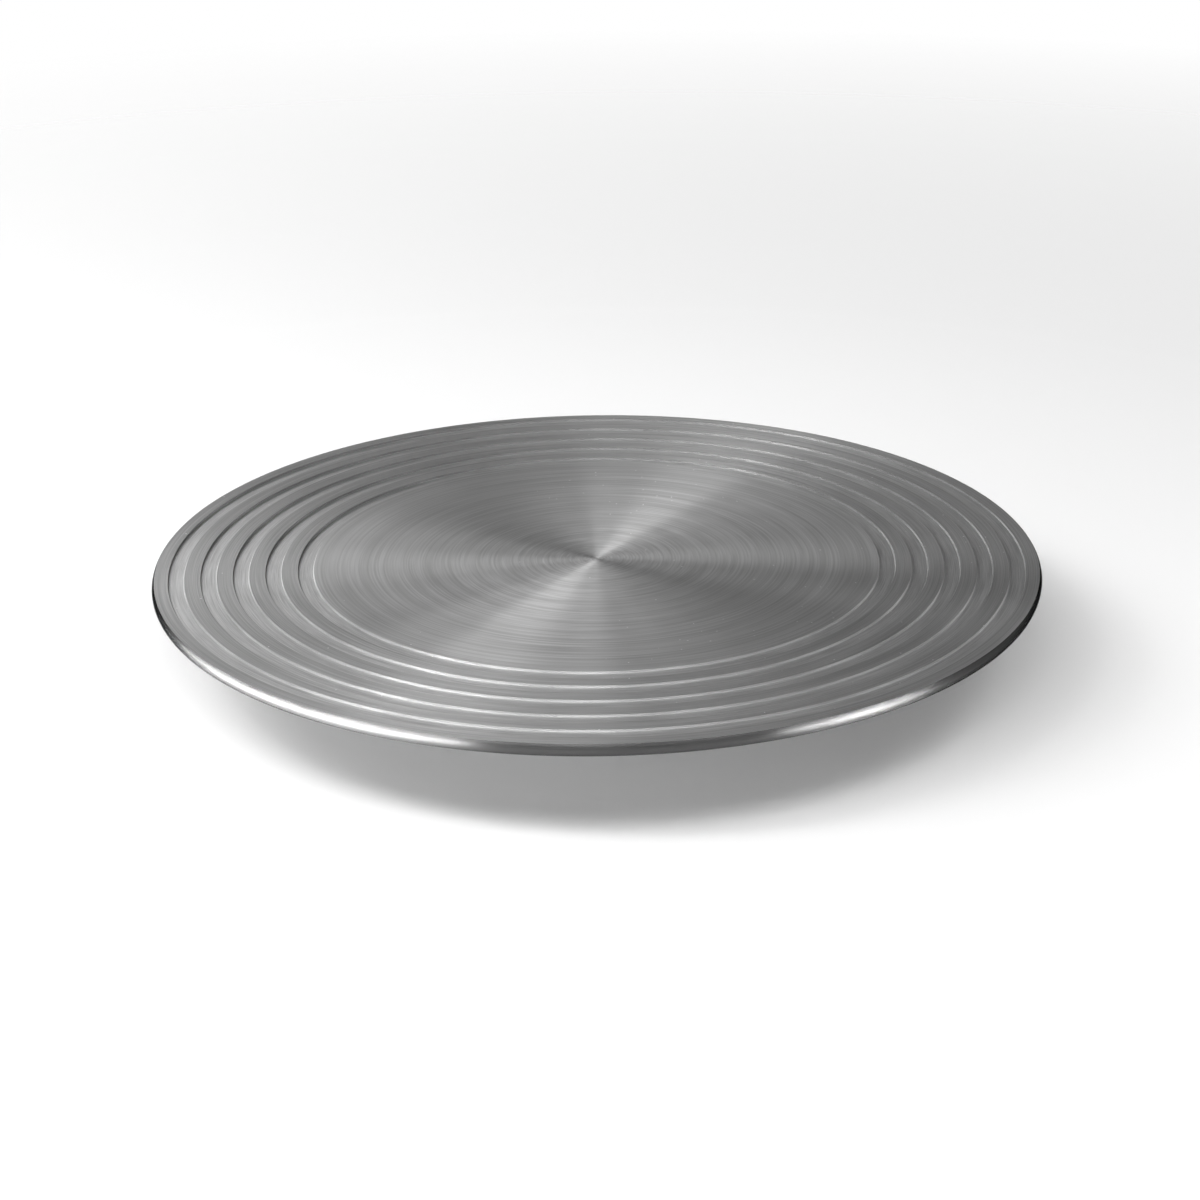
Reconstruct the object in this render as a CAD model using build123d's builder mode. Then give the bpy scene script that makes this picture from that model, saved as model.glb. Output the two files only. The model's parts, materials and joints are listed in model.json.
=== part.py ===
"""Low banding wheel: a turned aluminium wheel head that spins on a ball-bearing base.

All lengths are millimetres. The Z axis is the spin axis, Z = 0 is the table under the rubber
feet, and the work face is at the top. Heights are worked out downwards from the work face.
"""

from build123d import *

import os
from math import atan2, degrees

os.makedirs("parts", exist_ok=True)

# Wheel head
TOP_Z = 35.0  # height of the work face above the table
HEAD_R = 150.0
HEAD_T = 4.0
EDGE_BULGE = 0.8  # how far the convex rim stands proud of the two faces
FIELD_R = 95.7  # plain field in the middle, inside the ring grooves
GROOVES = 5
GROOVE_DEPTH = 0.6
GROOVE_SLOPE = 0.25  # how far each groove wall leans
BOSS_R = 45.0
BOSS_T = 5.0
BOSS_CHAMFER = 0.8

# Spindle, with the flange that carries the head
SPIGOT_R = 15.0
SPIGOT_H = 2.0
FLANGE_R = 44.0
FLANGE_T = 4.5
SHOULDER_R = 12.5
SHOULDER_GAP = 0.3  # between the shoulder and the bearing, so that the balls carry the head
SHAFT_R = 10.0
SHAFT_END_Z = 5.8
TURNING_CENTRE_R = 1.6  # the lathe centre's hole in the shaft end
TURNING_CENTRE_CONE = 1.6
HEAD_SCREWS = 6
HEAD_SCREW_PITCH_R = 20.0
HEAD_SCREW_LENGTH = 8.5

# Thrust bearing, which carries the weight
THRUST_PITCH_R = 33.0
THRUST_BALLS = 24
BALL_R = 2.5  # both bearings use 5 mm balls
BALL_GAP = 0.03  # running clearance between a ball and its track
TRACK_R = 2.6  # section radius of every ball track
RACE_INNER_R = 27.0
RACE_OUTER_R = 39.0
RACE_T = 2.0
RACE_SEAT = 0.5  # depth of the flange recess that centres the upper race
TRACK_SINK = 0.5  # how deep a ball sits in a thrust race
THRUST_CAGE_W = 7.2
THRUST_CAGE_T = 2.2

# Deep-groove bearing, 20 x 37 x 9, which keeps the head centred
BEARING_R = 18.5
BEARING_W = 9.0
BEARING_PITCH_R = 14.25
BEARING_BALLS = 12
INNER_LAND_R = 12.7
OUTER_LAND_R = 15.8
LAND_GAP = 0.5  # between the cage and each ring
CROWN_BACK = 0.7  # cage wall behind the ball pockets
CROWN_REACH = 1.4  # how far the cage's prongs pass the middle of the balls
SHIELD_SEAT_R = 16.4
SHIELD_T = 0.7
SHIELD_RECESS = 0.3
SHIELD_GAP = 0.15  # between a shield and the turning ring

# Retaining rings and the preload disc spring
EXTERNAL_RING_T = 1.2
EXTERNAL_RING_W = 2.6
EXTERNAL_MOUTH = 4.4
EXTERNAL_GROOVE_DEPTH = 0.5
INTERNAL_RING_T = 1.5
INTERNAL_RING_W = 2.9
INTERNAL_MOUTH = 5.0
INTERNAL_GROOVE_DEPTH = 1.0
LUG_R = 1.6
LUG_INSET = 0.15  # lug centres lie this far inside the edge that they stand on
SPRING_H = 0.75  # height of the disc spring under load
SPRING_T = 0.4

# Base casting
BASE_R = 80.0
BASE_UNDER_Z = 2.5
BASE_RIM_H = 5.5
BASE_RIM_FILLET = 2.0
DOME_DROP = 5.0  # from the top of the collar to the top of the dome
DOME_RISE = 1.0  # how far the dome's curve stands above a straight slope
HOUSING_R = 26.0
HOUSING_GAP = 1.0  # between the housing and the flange
COLLAR_R = 44.0
COLLAR_GAP = 3.0  # between the collar and the flange
BORE_LIP_R = 16.5
BORE_LIP_T = 1.0
CAVITY_R = 22.0
COVER_R = 30.0
COVER_T = 1.5
GASKET_T = 0.5
POCKET_INNER_R = 35.0
POCKET_OUTER_R = 56.0
POCKET_TOP_Z = 8.5
POCKET_FILLET = 2.5
RIBS = 6
RIB_W = 4.0
COVER_SCREWS = 4
COVER_SCREW_START = 45.0  # angle of the first cover screw
COVER_SCREW_PITCH_R = 26.0
COVER_SCREW_LENGTH = 6.5

# Dust seals
FELT_INNER_R = 40.5
FELT_OUTER_R = 42.9
FELT_SEAT = 2.0
FELT_GAP = 0.3
SKIRT_T = 1.95
SKIRT_LAP = 3.5  # how far the skirt hangs down past the top of the collar
SKIRT_BEAD_R = 0.8
SKIRT_BEAD_H = 1.0

# Feet
FEET = 6
FOOT_PITCH_R = 68.0
FOOT_R = 8.0
FOOT_TAPER = 0.8
FOOT_SEAT = 1.5
FOOT_WELL_R = 3.2
FOOT_WELL_Z = 2.0
FOOT_SCREW_HEAD_R = 2.8
FOOT_SCREW_HEAD_Z = 0.5
FOOT_SCREW_BITE = 4.0  # how far each foot screw goes into the casting
CROSS_SLOT_L = 3.4
CROSS_SLOT_W = 0.6
CROSS_SLOT_DEPTH = 0.9

# Fits and standard screws
SLIP = 0.05  # radial slack of a part that drops into its seat
RING_CHAMFER = 0.3  # on the corners of hardened rings
SHAFT_CHAMFER = 0.5
HOLE_DEPTH_SPARE = 0.5  # blind holes go this far past their screws
M3_R = 1.5
M3_HEX = 2.0  # across the flats of the socket
M3_HEX_DEPTH = 1.1
M4_R = 2.0
M4_HEX = 2.5
M4_HEX_DEPTH = 1.6

# Heights that follow from the sizes above
head_under_z = TOP_Z - HEAD_T
boss_z = head_under_z - BOSS_T
flange_z = boss_z - FLANGE_T
upper_race_z = flange_z + RACE_SEAT - RACE_T
thrust_mid_z = upper_race_z + TRACK_SINK - BALL_R
race_seat_z = thrust_mid_z + TRACK_SINK - BALL_R - RACE_T
bearing_top_z = thrust_mid_z
bearing_z = bearing_top_z - BEARING_W
bearing_mid_z = bearing_top_z - BEARING_W / 2
spring_z = bearing_z - SLIP - SPRING_H
circlip_z = spring_z - EXTERNAL_RING_T
housing_top_z = flange_z - HOUSING_GAP
collar_top_z = flange_z - COLLAR_GAP
felt_z = collar_top_z - FELT_SEAT
cover_seat_z = BASE_UNDER_Z + COVER_T + GASKET_T
foot_top_z = BASE_UNDER_Z + FOOT_SEAT
track_offset = TRACK_R - BALL_R - BALL_GAP  # from a ball's centre to its track's centre


def save(part, label):
    """Name one finished piece and write its STEP file."""
    part.label = label
    export_step(part, f"parts/{label}.step")


def ring_section(inner, outer, low, high, mode=Mode.ADD):
    """Add a rectangular ring section, between two radii and two heights, to the open sketch."""
    with Locations(((inner + outer) / 2, (low + high) / 2)):
        Rectangle(outer - inner, high - low, mode=mode)


def polar_holes(pitch_r, count, hole_r, low, high, start=0.0):
    """Cut round holes, evenly spaced on a circle, out of the open part between two heights."""
    with BuildSketch(Plane.XY.offset(low)) as holes:
        with PolarLocations(pitch_r, count, start_angle=start):
            Circle(hole_r)
    extrude(holes.sketch, amount=high - low, mode=Mode.SUBTRACT)


def polar_countersinks(pitch_r, count, head_r, low, start=0.0):
    """Cut 90 degree countersinks, whose mouths face down, out of the open part."""
    with BuildSketch(Plane.XY.offset(low)) as mouths:
        with PolarLocations(pitch_r, count, start_angle=start):
            Circle(head_r)
    extrude(mouths.sketch, amount=head_r - SLIP, taper=45, mode=Mode.SUBTRACT)


def countersunk_screw(shank_r, length, hex_flats, hex_depth, head_z):
    """Return a socket screw on the Z axis that points up, with its flat head at head_z."""
    head_r = 2 * shank_r - SLIP
    tip_z = head_z + length
    tip_chamfer = 0.2 * shank_r
    with BuildPart() as screw:
        with BuildSketch(Plane.XZ):
            with BuildLine():
                Polyline(
                    (0, head_z),
                    (head_r, head_z),
                    (shank_r, head_z + head_r - shank_r),
                    (shank_r, tip_z - tip_chamfer),
                    (shank_r - tip_chamfer, tip_z),
                    (0, tip_z),
                    close=True,
                )
            make_face()
        revolve(axis=Axis.Z)
        with BuildSketch(Plane.XY.offset(head_z)):
            RegularPolygon(hex_flats / 2, 6, major_radius=False)
        extrude(amount=hex_depth, mode=Mode.SUBTRACT)
    return screw.part


def thrust_race(label, low, track_z):
    """Make one flat race of the thrust bearing, with the ball track in the face near track_z."""
    with BuildPart() as race:
        with BuildSketch(Plane.XZ) as section:
            ring_section(RACE_INNER_R, RACE_OUTER_R, low, low + RACE_T)
            chamfer(section.vertices(), RING_CHAMFER)
            with Locations((THRUST_PITCH_R, track_z)):
                Circle(TRACK_R, mode=Mode.SUBTRACT)
        revolve(axis=Axis.Z)
    save(race.part, label)


def circlip(label, inner, outer, low, thickness, mouth, lug_pitch_r):
    """Make a retaining ring whose mouth is at -Y, with a drilled lug at each side of the mouth."""
    lug_angle = degrees(atan2(mouth / 2 + LUG_R / 2, lug_pitch_r))
    with BuildPart() as ring:
        with BuildSketch(Plane.XY.offset(low)):
            Circle(outer)
            Circle(inner, mode=Mode.SUBTRACT)
            with Locations((0, -outer)):
                Rectangle(mouth, outer, mode=Mode.SUBTRACT)
            for angle in (-90 - lug_angle, -90 + lug_angle):
                with PolarLocations(lug_pitch_r, 1, start_angle=angle):
                    Circle(LUG_R)
                    Circle(LUG_R / 2, mode=Mode.SUBTRACT)
        extrude(amount=thickness)
    save(ring.part, label)


# --- Wheel -------------------------------------------------------------------------------

band = (HEAD_R - FIELD_R) / (2 * GROOVES)  # width of every groove and of every land between
edge_r = HEAD_R - EDGE_BULGE
recess_z = boss_z + SPIGOT_H + SLIP
with BuildPart() as wheel_head:
    with BuildSketch(Plane.XZ):
        with BuildLine():
            Polyline(
                (edge_r, TOP_Z),
                (0, TOP_Z),
                (0, recess_z),
                (SPIGOT_R + SLIP, recess_z),
                (SPIGOT_R + SLIP, boss_z),
                (BOSS_R - BOSS_CHAMFER, boss_z),
                (BOSS_R, boss_z + BOSS_CHAMFER),
                (BOSS_R, head_under_z),
                (edge_r, head_under_z),
            )
            ThreePointArc(
                (edge_r, head_under_z),
                (HEAD_R, head_under_z + HEAD_T / 2),
                (edge_r, TOP_Z),
            )
        make_face()
    revolve(axis=Axis.Z)
    for groove in range(GROOVES):
        outer = HEAD_R - band * (2 * groove + 1)
        inner = outer - band
        floor_z = TOP_Z - GROOVE_DEPTH
        with BuildSketch(Plane.XZ):
            with BuildLine():
                Polyline(
                    (inner, TOP_Z),
                    (outer, TOP_Z),
                    (outer - GROOVE_SLOPE, floor_z),
                    (inner + GROOVE_SLOPE, floor_z),
                    close=True,
                )
            make_face()
        revolve(axis=Axis.Z, mode=Mode.SUBTRACT)
    head_screw_top_z = flange_z + HEAD_SCREW_LENGTH + 2 * HOLE_DEPTH_SPARE
    polar_holes(HEAD_SCREW_PITCH_R, HEAD_SCREWS, M4_R + SLIP, boss_z, head_screw_top_z)
save(wheel_head.part, "wheel_head")

centre_mouth_z = SHAFT_END_Z + TURNING_CENTRE_R / 2
ring_groove_r = SHAFT_R - EXTERNAL_GROOVE_DEPTH
spigot_top_z = boss_z + SPIGOT_H
with BuildPart() as spindle:
    with BuildSketch(Plane.XZ):
        with BuildLine():
            Polyline(
                (0, centre_mouth_z + TURNING_CENTRE_CONE),
                (TURNING_CENTRE_R, centre_mouth_z),
                (TURNING_CENTRE_R, SHAFT_END_Z),
                (SHAFT_R - SHAFT_CHAMFER, SHAFT_END_Z),
                (SHAFT_R, SHAFT_END_Z + SHAFT_CHAMFER),
                (SHAFT_R, circlip_z - SLIP),
                (ring_groove_r, circlip_z - SLIP),
                (ring_groove_r, circlip_z + EXTERNAL_RING_T + SLIP),
                (SHAFT_R, circlip_z + EXTERNAL_RING_T + SLIP),
                (SHAFT_R, bearing_top_z + SHOULDER_GAP),
                (SHOULDER_R, bearing_top_z + SHOULDER_GAP),
                (SHOULDER_R, flange_z),
                (RACE_INNER_R - SLIP, flange_z),
                (RACE_INNER_R - SLIP, flange_z + RACE_SEAT),
                (RACE_OUTER_R + SLIP, flange_z + RACE_SEAT),
                (RACE_OUTER_R + SLIP, flange_z),
                (FLANGE_R - SHAFT_CHAMFER, flange_z),
                (FLANGE_R, flange_z + SHAFT_CHAMFER),
                (FLANGE_R, boss_z),
                (SPIGOT_R, boss_z),
                (SPIGOT_R, spigot_top_z - SHAFT_CHAMFER),
                (SPIGOT_R - SHAFT_CHAMFER, spigot_top_z),
                (0, spigot_top_z),
                close=True,
            )
        make_face()
    revolve(axis=Axis.Z)
    polar_holes(HEAD_SCREW_PITCH_R, HEAD_SCREWS, M4_R + SLIP, flange_z, boss_z)
    polar_countersinks(HEAD_SCREW_PITCH_R, HEAD_SCREWS, 2 * M4_R + SLIP, flange_z)
save(spindle.part, "spindle")

one_head_screw = countersunk_screw(M4_R, HEAD_SCREW_LENGTH, M4_HEX, M4_HEX_DEPTH, flange_z)
with BuildPart() as spindle_screws:
    with PolarLocations(HEAD_SCREW_PITCH_R, HEAD_SCREWS):
        add(one_head_screw)
save(spindle_screws.part, "spindle_screws")

skirt_low_z = collar_top_z - SKIRT_LAP
skirt_top_z = head_under_z - SKIRT_BEAD_R / 2
with BuildPart() as dust_skirt:
    with BuildSketch(Plane.XZ):
        ring_section(BOSS_R, BOSS_R + SKIRT_T, skirt_low_z, skirt_top_z)
        with Locations((BOSS_R + SKIRT_T, skirt_low_z + SKIRT_BEAD_H)):
            Circle(SKIRT_BEAD_R)
    revolve(axis=Axis.Z)
save(dust_skirt.part, "dust_skirt")

thrust_race("upper_thrust_race", upper_race_z, thrust_mid_z - track_offset)

with BuildPart() as bearing_inner_ring:
    with BuildSketch(Plane.XZ) as section:
        ring_section(SHAFT_R, INNER_LAND_R, bearing_z, bearing_top_z)
        chamfer(section.vertices(), RING_CHAMFER)
        with Locations((BEARING_PITCH_R + track_offset, bearing_mid_z)):
            Circle(TRACK_R, mode=Mode.SUBTRACT)
    revolve(axis=Axis.Z)
save(bearing_inner_ring.part, "bearing_inner_ring")

spring_inner_r = SHAFT_R + RING_CHAMFER
spring_outer_r = INNER_LAND_R - RING_CHAMFER
with BuildPart() as preload_spring:
    with BuildSketch(Plane.XZ):
        with BuildLine():
            Polyline(
                (spring_inner_r, spring_z),
                (spring_outer_r, spring_z + SPRING_H - SPRING_T),
                (spring_outer_r, spring_z + SPRING_H),
                (spring_inner_r, spring_z + SPRING_T),
                close=True,
            )
        make_face()
    revolve(axis=Axis.Z)
save(preload_spring.part, "preload_spring")

clip_inner_r = ring_groove_r + SLIP
clip_outer_r = clip_inner_r + EXTERNAL_RING_W
circlip(
    "spindle_circlip",
    clip_inner_r,
    clip_outer_r,
    circlip_z,
    EXTERNAL_RING_T,
    EXTERNAL_MOUTH,
    clip_outer_r - LUG_INSET,
)

# --- Ball sets ---------------------------------------------------------------------------

with BuildPart() as thrust_balls:
    with Locations((0, 0, thrust_mid_z)):
        with PolarLocations(THRUST_PITCH_R, THRUST_BALLS):
            Sphere(BALL_R)
save(thrust_balls.part, "thrust_balls")

with BuildPart() as thrust_cage:
    with BuildSketch(Plane.XZ) as section:
        with Locations((THRUST_PITCH_R, thrust_mid_z)):
            Rectangle(THRUST_CAGE_W, THRUST_CAGE_T)
        chamfer(section.vertices(), RING_CHAMFER)
    revolve(axis=Axis.Z)
    with Locations((0, 0, thrust_mid_z)):
        with PolarLocations(THRUST_PITCH_R, THRUST_BALLS):
            Sphere(TRACK_R, mode=Mode.SUBTRACT)
save(thrust_cage.part, "thrust_cage")

with BuildPart() as bearing_balls:
    with Locations((0, 0, bearing_mid_z)):
        with PolarLocations(BEARING_PITCH_R, BEARING_BALLS):
            Sphere(BALL_R)
save(bearing_balls.part, "bearing_balls")

crown_low_z = bearing_mid_z - TRACK_R - CROWN_BACK
crown_top_z = bearing_mid_z + CROWN_REACH
with BuildPart() as bearing_cage:
    with BuildSketch(Plane.XZ):
        ring_section(INNER_LAND_R + LAND_GAP, OUTER_LAND_R - LAND_GAP, crown_low_z, crown_top_z)
    revolve(axis=Axis.Z)
    with Locations((0, 0, bearing_mid_z)):
        with PolarLocations(BEARING_PITCH_R, BEARING_BALLS):
            Sphere(TRACK_R, mode=Mode.SUBTRACT)
save(bearing_cage.part, "bearing_cage")

# --- Base --------------------------------------------------------------------------------

rim_top_z = BASE_UNDER_Z + BASE_RIM_H
dome_top_z = collar_top_z - DOME_DROP
ring_slot_r = BEARING_R + INTERNAL_GROOVE_DEPTH
ring_slot_top_z = bearing_top_z + INTERNAL_RING_T + SLIP
with BuildPart() as base_casting:
    with BuildSketch(Plane.XZ) as section:
        with BuildLine():
            Polyline(
                (BASE_R, rim_top_z),
                (BASE_R, BASE_UNDER_Z),
                (COVER_R + SLIP, BASE_UNDER_Z),
                (COVER_R + SLIP, cover_seat_z),
                (CAVITY_R, cover_seat_z),
                (CAVITY_R, bearing_z - BORE_LIP_T),
                (BORE_LIP_R, bearing_z - BORE_LIP_T),
                (BORE_LIP_R, bearing_z),
                (BEARING_R, bearing_z),
                (BEARING_R, bearing_top_z),
                (ring_slot_r, bearing_top_z),
                (ring_slot_r, ring_slot_top_z),
                (BEARING_R, ring_slot_top_z),
                (BEARING_R, housing_top_z),
                (HOUSING_R, housing_top_z),
                (HOUSING_R, race_seat_z),
                (RACE_OUTER_R + SLIP, race_seat_z),
                (RACE_OUTER_R + SLIP, collar_top_z),
                (FELT_INNER_R - SLIP, collar_top_z),
                (FELT_INNER_R - SLIP, felt_z),
                (FELT_OUTER_R + SLIP, felt_z),
                (FELT_OUTER_R + SLIP, collar_top_z),
                (COLLAR_R, collar_top_z),
                (COLLAR_R, dome_top_z),
            )
            ThreePointArc(
                (COLLAR_R, dome_top_z),
                ((COLLAR_R + BASE_R) / 2, (dome_top_z + rim_top_z) / 2 + DOME_RISE),
                (BASE_R, rim_top_z),
            )
        make_face()
        fillet(section.vertices().group_by(Axis.X)[-1], BASE_RIM_FILLET)
    revolve(axis=Axis.Z)
    with BuildSketch(Plane.XY.offset(BASE_UNDER_Z)) as pockets:
        Circle(POCKET_OUTER_R)
        Circle(POCKET_INNER_R, mode=Mode.SUBTRACT)
        with PolarLocations((POCKET_INNER_R + POCKET_OUTER_R) / 2, RIBS):
            Rectangle(POCKET_OUTER_R - POCKET_INNER_R + RIB_W, RIB_W, mode=Mode.SUBTRACT)
        fillet(pockets.vertices(), POCKET_FILLET)
    extrude(amount=POCKET_TOP_Z - BASE_UNDER_Z, mode=Mode.SUBTRACT)
    foot_hole_top_z = foot_top_z + FOOT_SCREW_BITE + HOLE_DEPTH_SPARE
    polar_holes(FOOT_PITCH_R, FEET, FOOT_R + SLIP, BASE_UNDER_Z, foot_top_z)
    polar_holes(FOOT_PITCH_R, FEET, M3_R + SLIP, foot_top_z, foot_hole_top_z)
    polar_holes(
        COVER_SCREW_PITCH_R,
        COVER_SCREWS,
        M3_R + SLIP,
        cover_seat_z,
        BASE_UNDER_Z + COVER_SCREW_LENGTH + HOLE_DEPTH_SPARE,
        start=COVER_SCREW_START,
    )
save(base_casting.part, "base_casting")

thrust_race("lower_thrust_race", race_seat_z, thrust_mid_z + track_offset)

shield_seat = SHIELD_T + SHIELD_RECESS
with BuildPart() as bearing_outer_ring:
    with BuildSketch(Plane.XZ) as section:
        ring_section(OUTER_LAND_R, BEARING_R, bearing_z, bearing_top_z)
        chamfer(section.vertices(), RING_CHAMFER)
        with Locations((BEARING_PITCH_R - track_offset, bearing_mid_z)):
            Circle(TRACK_R, mode=Mode.SUBTRACT)
        for low in (bearing_z, bearing_top_z - shield_seat):
            ring_section(BEARING_PITCH_R, SHIELD_SEAT_R, low, low + shield_seat, Mode.SUBTRACT)
    revolve(axis=Axis.Z)
save(bearing_outer_ring.part, "bearing_outer_ring")

shield_heights = {
    "bearing_shield_lower": bearing_z + SHIELD_RECESS,
    "bearing_shield_upper": bearing_top_z - shield_seat,
}
for label, low in shield_heights.items():
    with BuildPart() as bearing_shield:
        with BuildSketch(Plane.XZ):
            ring_section(INNER_LAND_R + SHIELD_GAP, SHIELD_SEAT_R, low, low + SHIELD_T)
        revolve(axis=Axis.Z)
    save(bearing_shield.part, label)

slot_ring_r = ring_slot_r - SLIP
circlip(
    "housing_circlip",
    slot_ring_r - INTERNAL_RING_W,
    slot_ring_r,
    bearing_top_z,
    INTERNAL_RING_T,
    INTERNAL_MOUTH,
    slot_ring_r - INTERNAL_RING_W + LUG_INSET,
)

with BuildPart() as felt_seal:
    with BuildSketch(Plane.XZ) as section:
        ring_section(FELT_INNER_R, FELT_OUTER_R, felt_z, flange_z - FELT_GAP)
        chamfer(section.vertices().group_by(Axis.Y)[-1], RING_CHAMFER)
    revolve(axis=Axis.Z)
save(felt_seal.part, "felt_seal")

cover_top_z = BASE_UNDER_Z + COVER_T
with BuildPart() as bottom_gasket:
    with BuildSketch(Plane.XY.offset(cover_top_z)):
        Circle(COVER_R)
        Circle(CAVITY_R, mode=Mode.SUBTRACT)
        with PolarLocations(COVER_SCREW_PITCH_R, COVER_SCREWS, start_angle=COVER_SCREW_START):
            Circle(M3_R + SLIP, mode=Mode.SUBTRACT)
    extrude(amount=GASKET_T)
save(bottom_gasket.part, "bottom_gasket")

with BuildPart() as bottom_cover:
    with BuildSketch(Plane.XY.offset(BASE_UNDER_Z)):
        Circle(COVER_R)
    extrude(amount=COVER_T)
    polar_holes(
        COVER_SCREW_PITCH_R, COVER_SCREWS, M3_R + SLIP, BASE_UNDER_Z, cover_top_z, COVER_SCREW_START
    )
    polar_countersinks(
        COVER_SCREW_PITCH_R, COVER_SCREWS, 2 * M3_R + SLIP, BASE_UNDER_Z, COVER_SCREW_START
    )
save(bottom_cover.part, "bottom_cover")

one_cover_screw = countersunk_screw(M3_R, COVER_SCREW_LENGTH, M3_HEX, M3_HEX_DEPTH, BASE_UNDER_Z)
with BuildPart() as cover_screws:
    with PolarLocations(COVER_SCREW_PITCH_R, COVER_SCREWS, start_angle=COVER_SCREW_START):
        add(one_cover_screw)
save(cover_screws.part, "cover_screws")

# --- Feet --------------------------------------------------------------------------------

for number in range(FEET):
    centre = Vector(FOOT_PITCH_R, 0, 0).rotate(Axis.Z, number * 360 / FEET)
    with BuildPart() as foot:
        with BuildSketch(Plane(origin=centre, x_dir=(1, 0, 0), z_dir=(0, -1, 0))):
            with BuildLine():
                Polyline(
                    (FOOT_WELL_R, 0),
                    (FOOT_R - FOOT_TAPER, 0),
                    (FOOT_R, BASE_UNDER_Z),
                    (FOOT_R, foot_top_z),
                    (M3_R + SLIP, foot_top_z),
                    (M3_R + SLIP, FOOT_WELL_Z),
                    (FOOT_WELL_R, FOOT_WELL_Z),
                    close=True,
                )
            make_face()
        revolve(axis=Axis(centre, (0, 0, 1)))
    save(foot.part, f"foot_{number + 1}")

with BuildPart() as one_foot_screw:
    with BuildSketch(Plane.XZ):
        ring_section(0, FOOT_SCREW_HEAD_R, FOOT_SCREW_HEAD_Z, FOOT_WELL_Z)
        ring_section(0, M3_R, FOOT_WELL_Z, foot_top_z + FOOT_SCREW_BITE)
    revolve(axis=Axis.Z)
    fillet(one_foot_screw.edges().group_by(Axis.Z)[0], SHAFT_CHAMFER)
    with BuildSketch(Plane.XY.offset(FOOT_SCREW_HEAD_Z)):
        Rectangle(CROSS_SLOT_L, CROSS_SLOT_W)
        Rectangle(CROSS_SLOT_W, CROSS_SLOT_L)
    extrude(amount=CROSS_SLOT_DEPTH, mode=Mode.SUBTRACT)
with BuildPart() as foot_screws:
    with PolarLocations(FOOT_PITCH_R, FEET):
        add(one_foot_screw.part)
save(foot_screws.part, "foot_screws")
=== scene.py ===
import json
from math import atan2, cos, hypot, pi, radians, sin, sqrt, tan

import bmesh
import bpy
from mathutils import Euler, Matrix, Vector
from mathutils.geometry import delaunay_2d_cdt

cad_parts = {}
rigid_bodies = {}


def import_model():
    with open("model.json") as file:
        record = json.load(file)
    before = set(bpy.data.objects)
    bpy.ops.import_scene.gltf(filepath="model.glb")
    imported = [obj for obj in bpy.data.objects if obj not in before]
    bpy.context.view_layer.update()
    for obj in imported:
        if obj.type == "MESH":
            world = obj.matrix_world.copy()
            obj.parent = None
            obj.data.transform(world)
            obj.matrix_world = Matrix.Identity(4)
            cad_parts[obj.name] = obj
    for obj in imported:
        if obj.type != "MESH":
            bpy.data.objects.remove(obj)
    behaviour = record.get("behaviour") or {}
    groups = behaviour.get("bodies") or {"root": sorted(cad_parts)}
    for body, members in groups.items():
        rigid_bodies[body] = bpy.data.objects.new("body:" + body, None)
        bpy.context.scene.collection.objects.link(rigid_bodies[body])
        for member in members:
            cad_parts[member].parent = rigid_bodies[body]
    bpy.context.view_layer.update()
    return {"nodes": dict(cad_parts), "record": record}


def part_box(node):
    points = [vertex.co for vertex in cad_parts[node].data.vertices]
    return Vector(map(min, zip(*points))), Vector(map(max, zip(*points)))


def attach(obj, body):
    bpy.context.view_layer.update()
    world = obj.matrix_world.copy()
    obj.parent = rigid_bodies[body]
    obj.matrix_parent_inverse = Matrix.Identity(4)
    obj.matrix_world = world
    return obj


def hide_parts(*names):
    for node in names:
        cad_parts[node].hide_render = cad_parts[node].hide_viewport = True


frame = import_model()
scene = bpy.context.scene
mm = 0.001  # sizes below are millimetres, the scene is in metres


def roundedPath(corners, closed=True, steps=4, guard=0.05):
    # corners are (radius from the axis, height, rounding, finish of the stretch that follows)
    # guard is how close the extra points stand to each rounding, so flats shade flat
    path = []
    for i, (r, z, rounding, finish) in enumerate(corners):
        here = Vector((r, z))
        before = corners[i - 1]
        if not rounding or not closed and i in (0, len(corners) - 1):
            path.append((here, finish))
            continue
        toBefore = (Vector(before[:2]) - here).normalized()
        toAfter = (Vector(corners[(i + 1) % len(corners)][:2]) - here).normalized()
        bend = toBefore.angle(toAfter)
        reach = rounding / tan(bend / 2)
        start = here + toBefore * reach
        end = here + toAfter * reach
        centre = here + (toBefore + toAfter).normalized() * (rounding / sin(bend / 2))
        path.append((start + toBefore * guard, before[3]))
        for k in range(steps + 1):
            spoke = (start - centre).lerp(end - centre, k / steps).normalized() * rounding
            path.append((centre + spoke, before[3] if k < steps / 2 else finish))
        path.append((end + toAfter * guard, finish))
    return path


def ringOfVerts(body, points, height):
    return [body.verts.new((x * mm, y * mm, height * mm)) for x, y in points]


def circlePoints(radius, segments, centre=(0, 0)):
    angles = [2 * pi * k / segments for k in range(segments)]
    return [(centre[0] + radius * cos(a), centre[1] + radius * sin(a)) for a in angles]


def bridge(body, lower, upper, slot=0):
    # a ring whose vertices are all one vertex is a point on the axis
    for k in range(len(lower)):
        after = (k + 1) % len(lower)
        corners = list(dict.fromkeys([lower[k], lower[after], upper[after], upper[k]]))
        if len(corners) > 2:
            body.faces.new(corners).material_index = slot


def latheInto(body, path, finishNames, closed=True, segments=384, centre=(0, 0)):
    # turns a path of (point, finish) pairs in millimetres round an upright axis
    rings = []
    onAxis = 1e-6
    for point, _ in path:
        if point.x < onAxis:
            rings.append([body.verts.new((centre[0] * mm, centre[1] * mm, point.y * mm))] * segments)
        else:
            rings.append(ringOfVerts(body, circlePoints(point.x, segments, centre), point.y))
    last = len(rings) if closed else len(rings) - 1
    for i in range(last):
        bridge(body, rings[i], rings[(i + 1) % len(rings)], finishNames.index(path[i][1]))
    return rings


sharpAngle = 40  # degrees between faces from which an edge shades sharp


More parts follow.
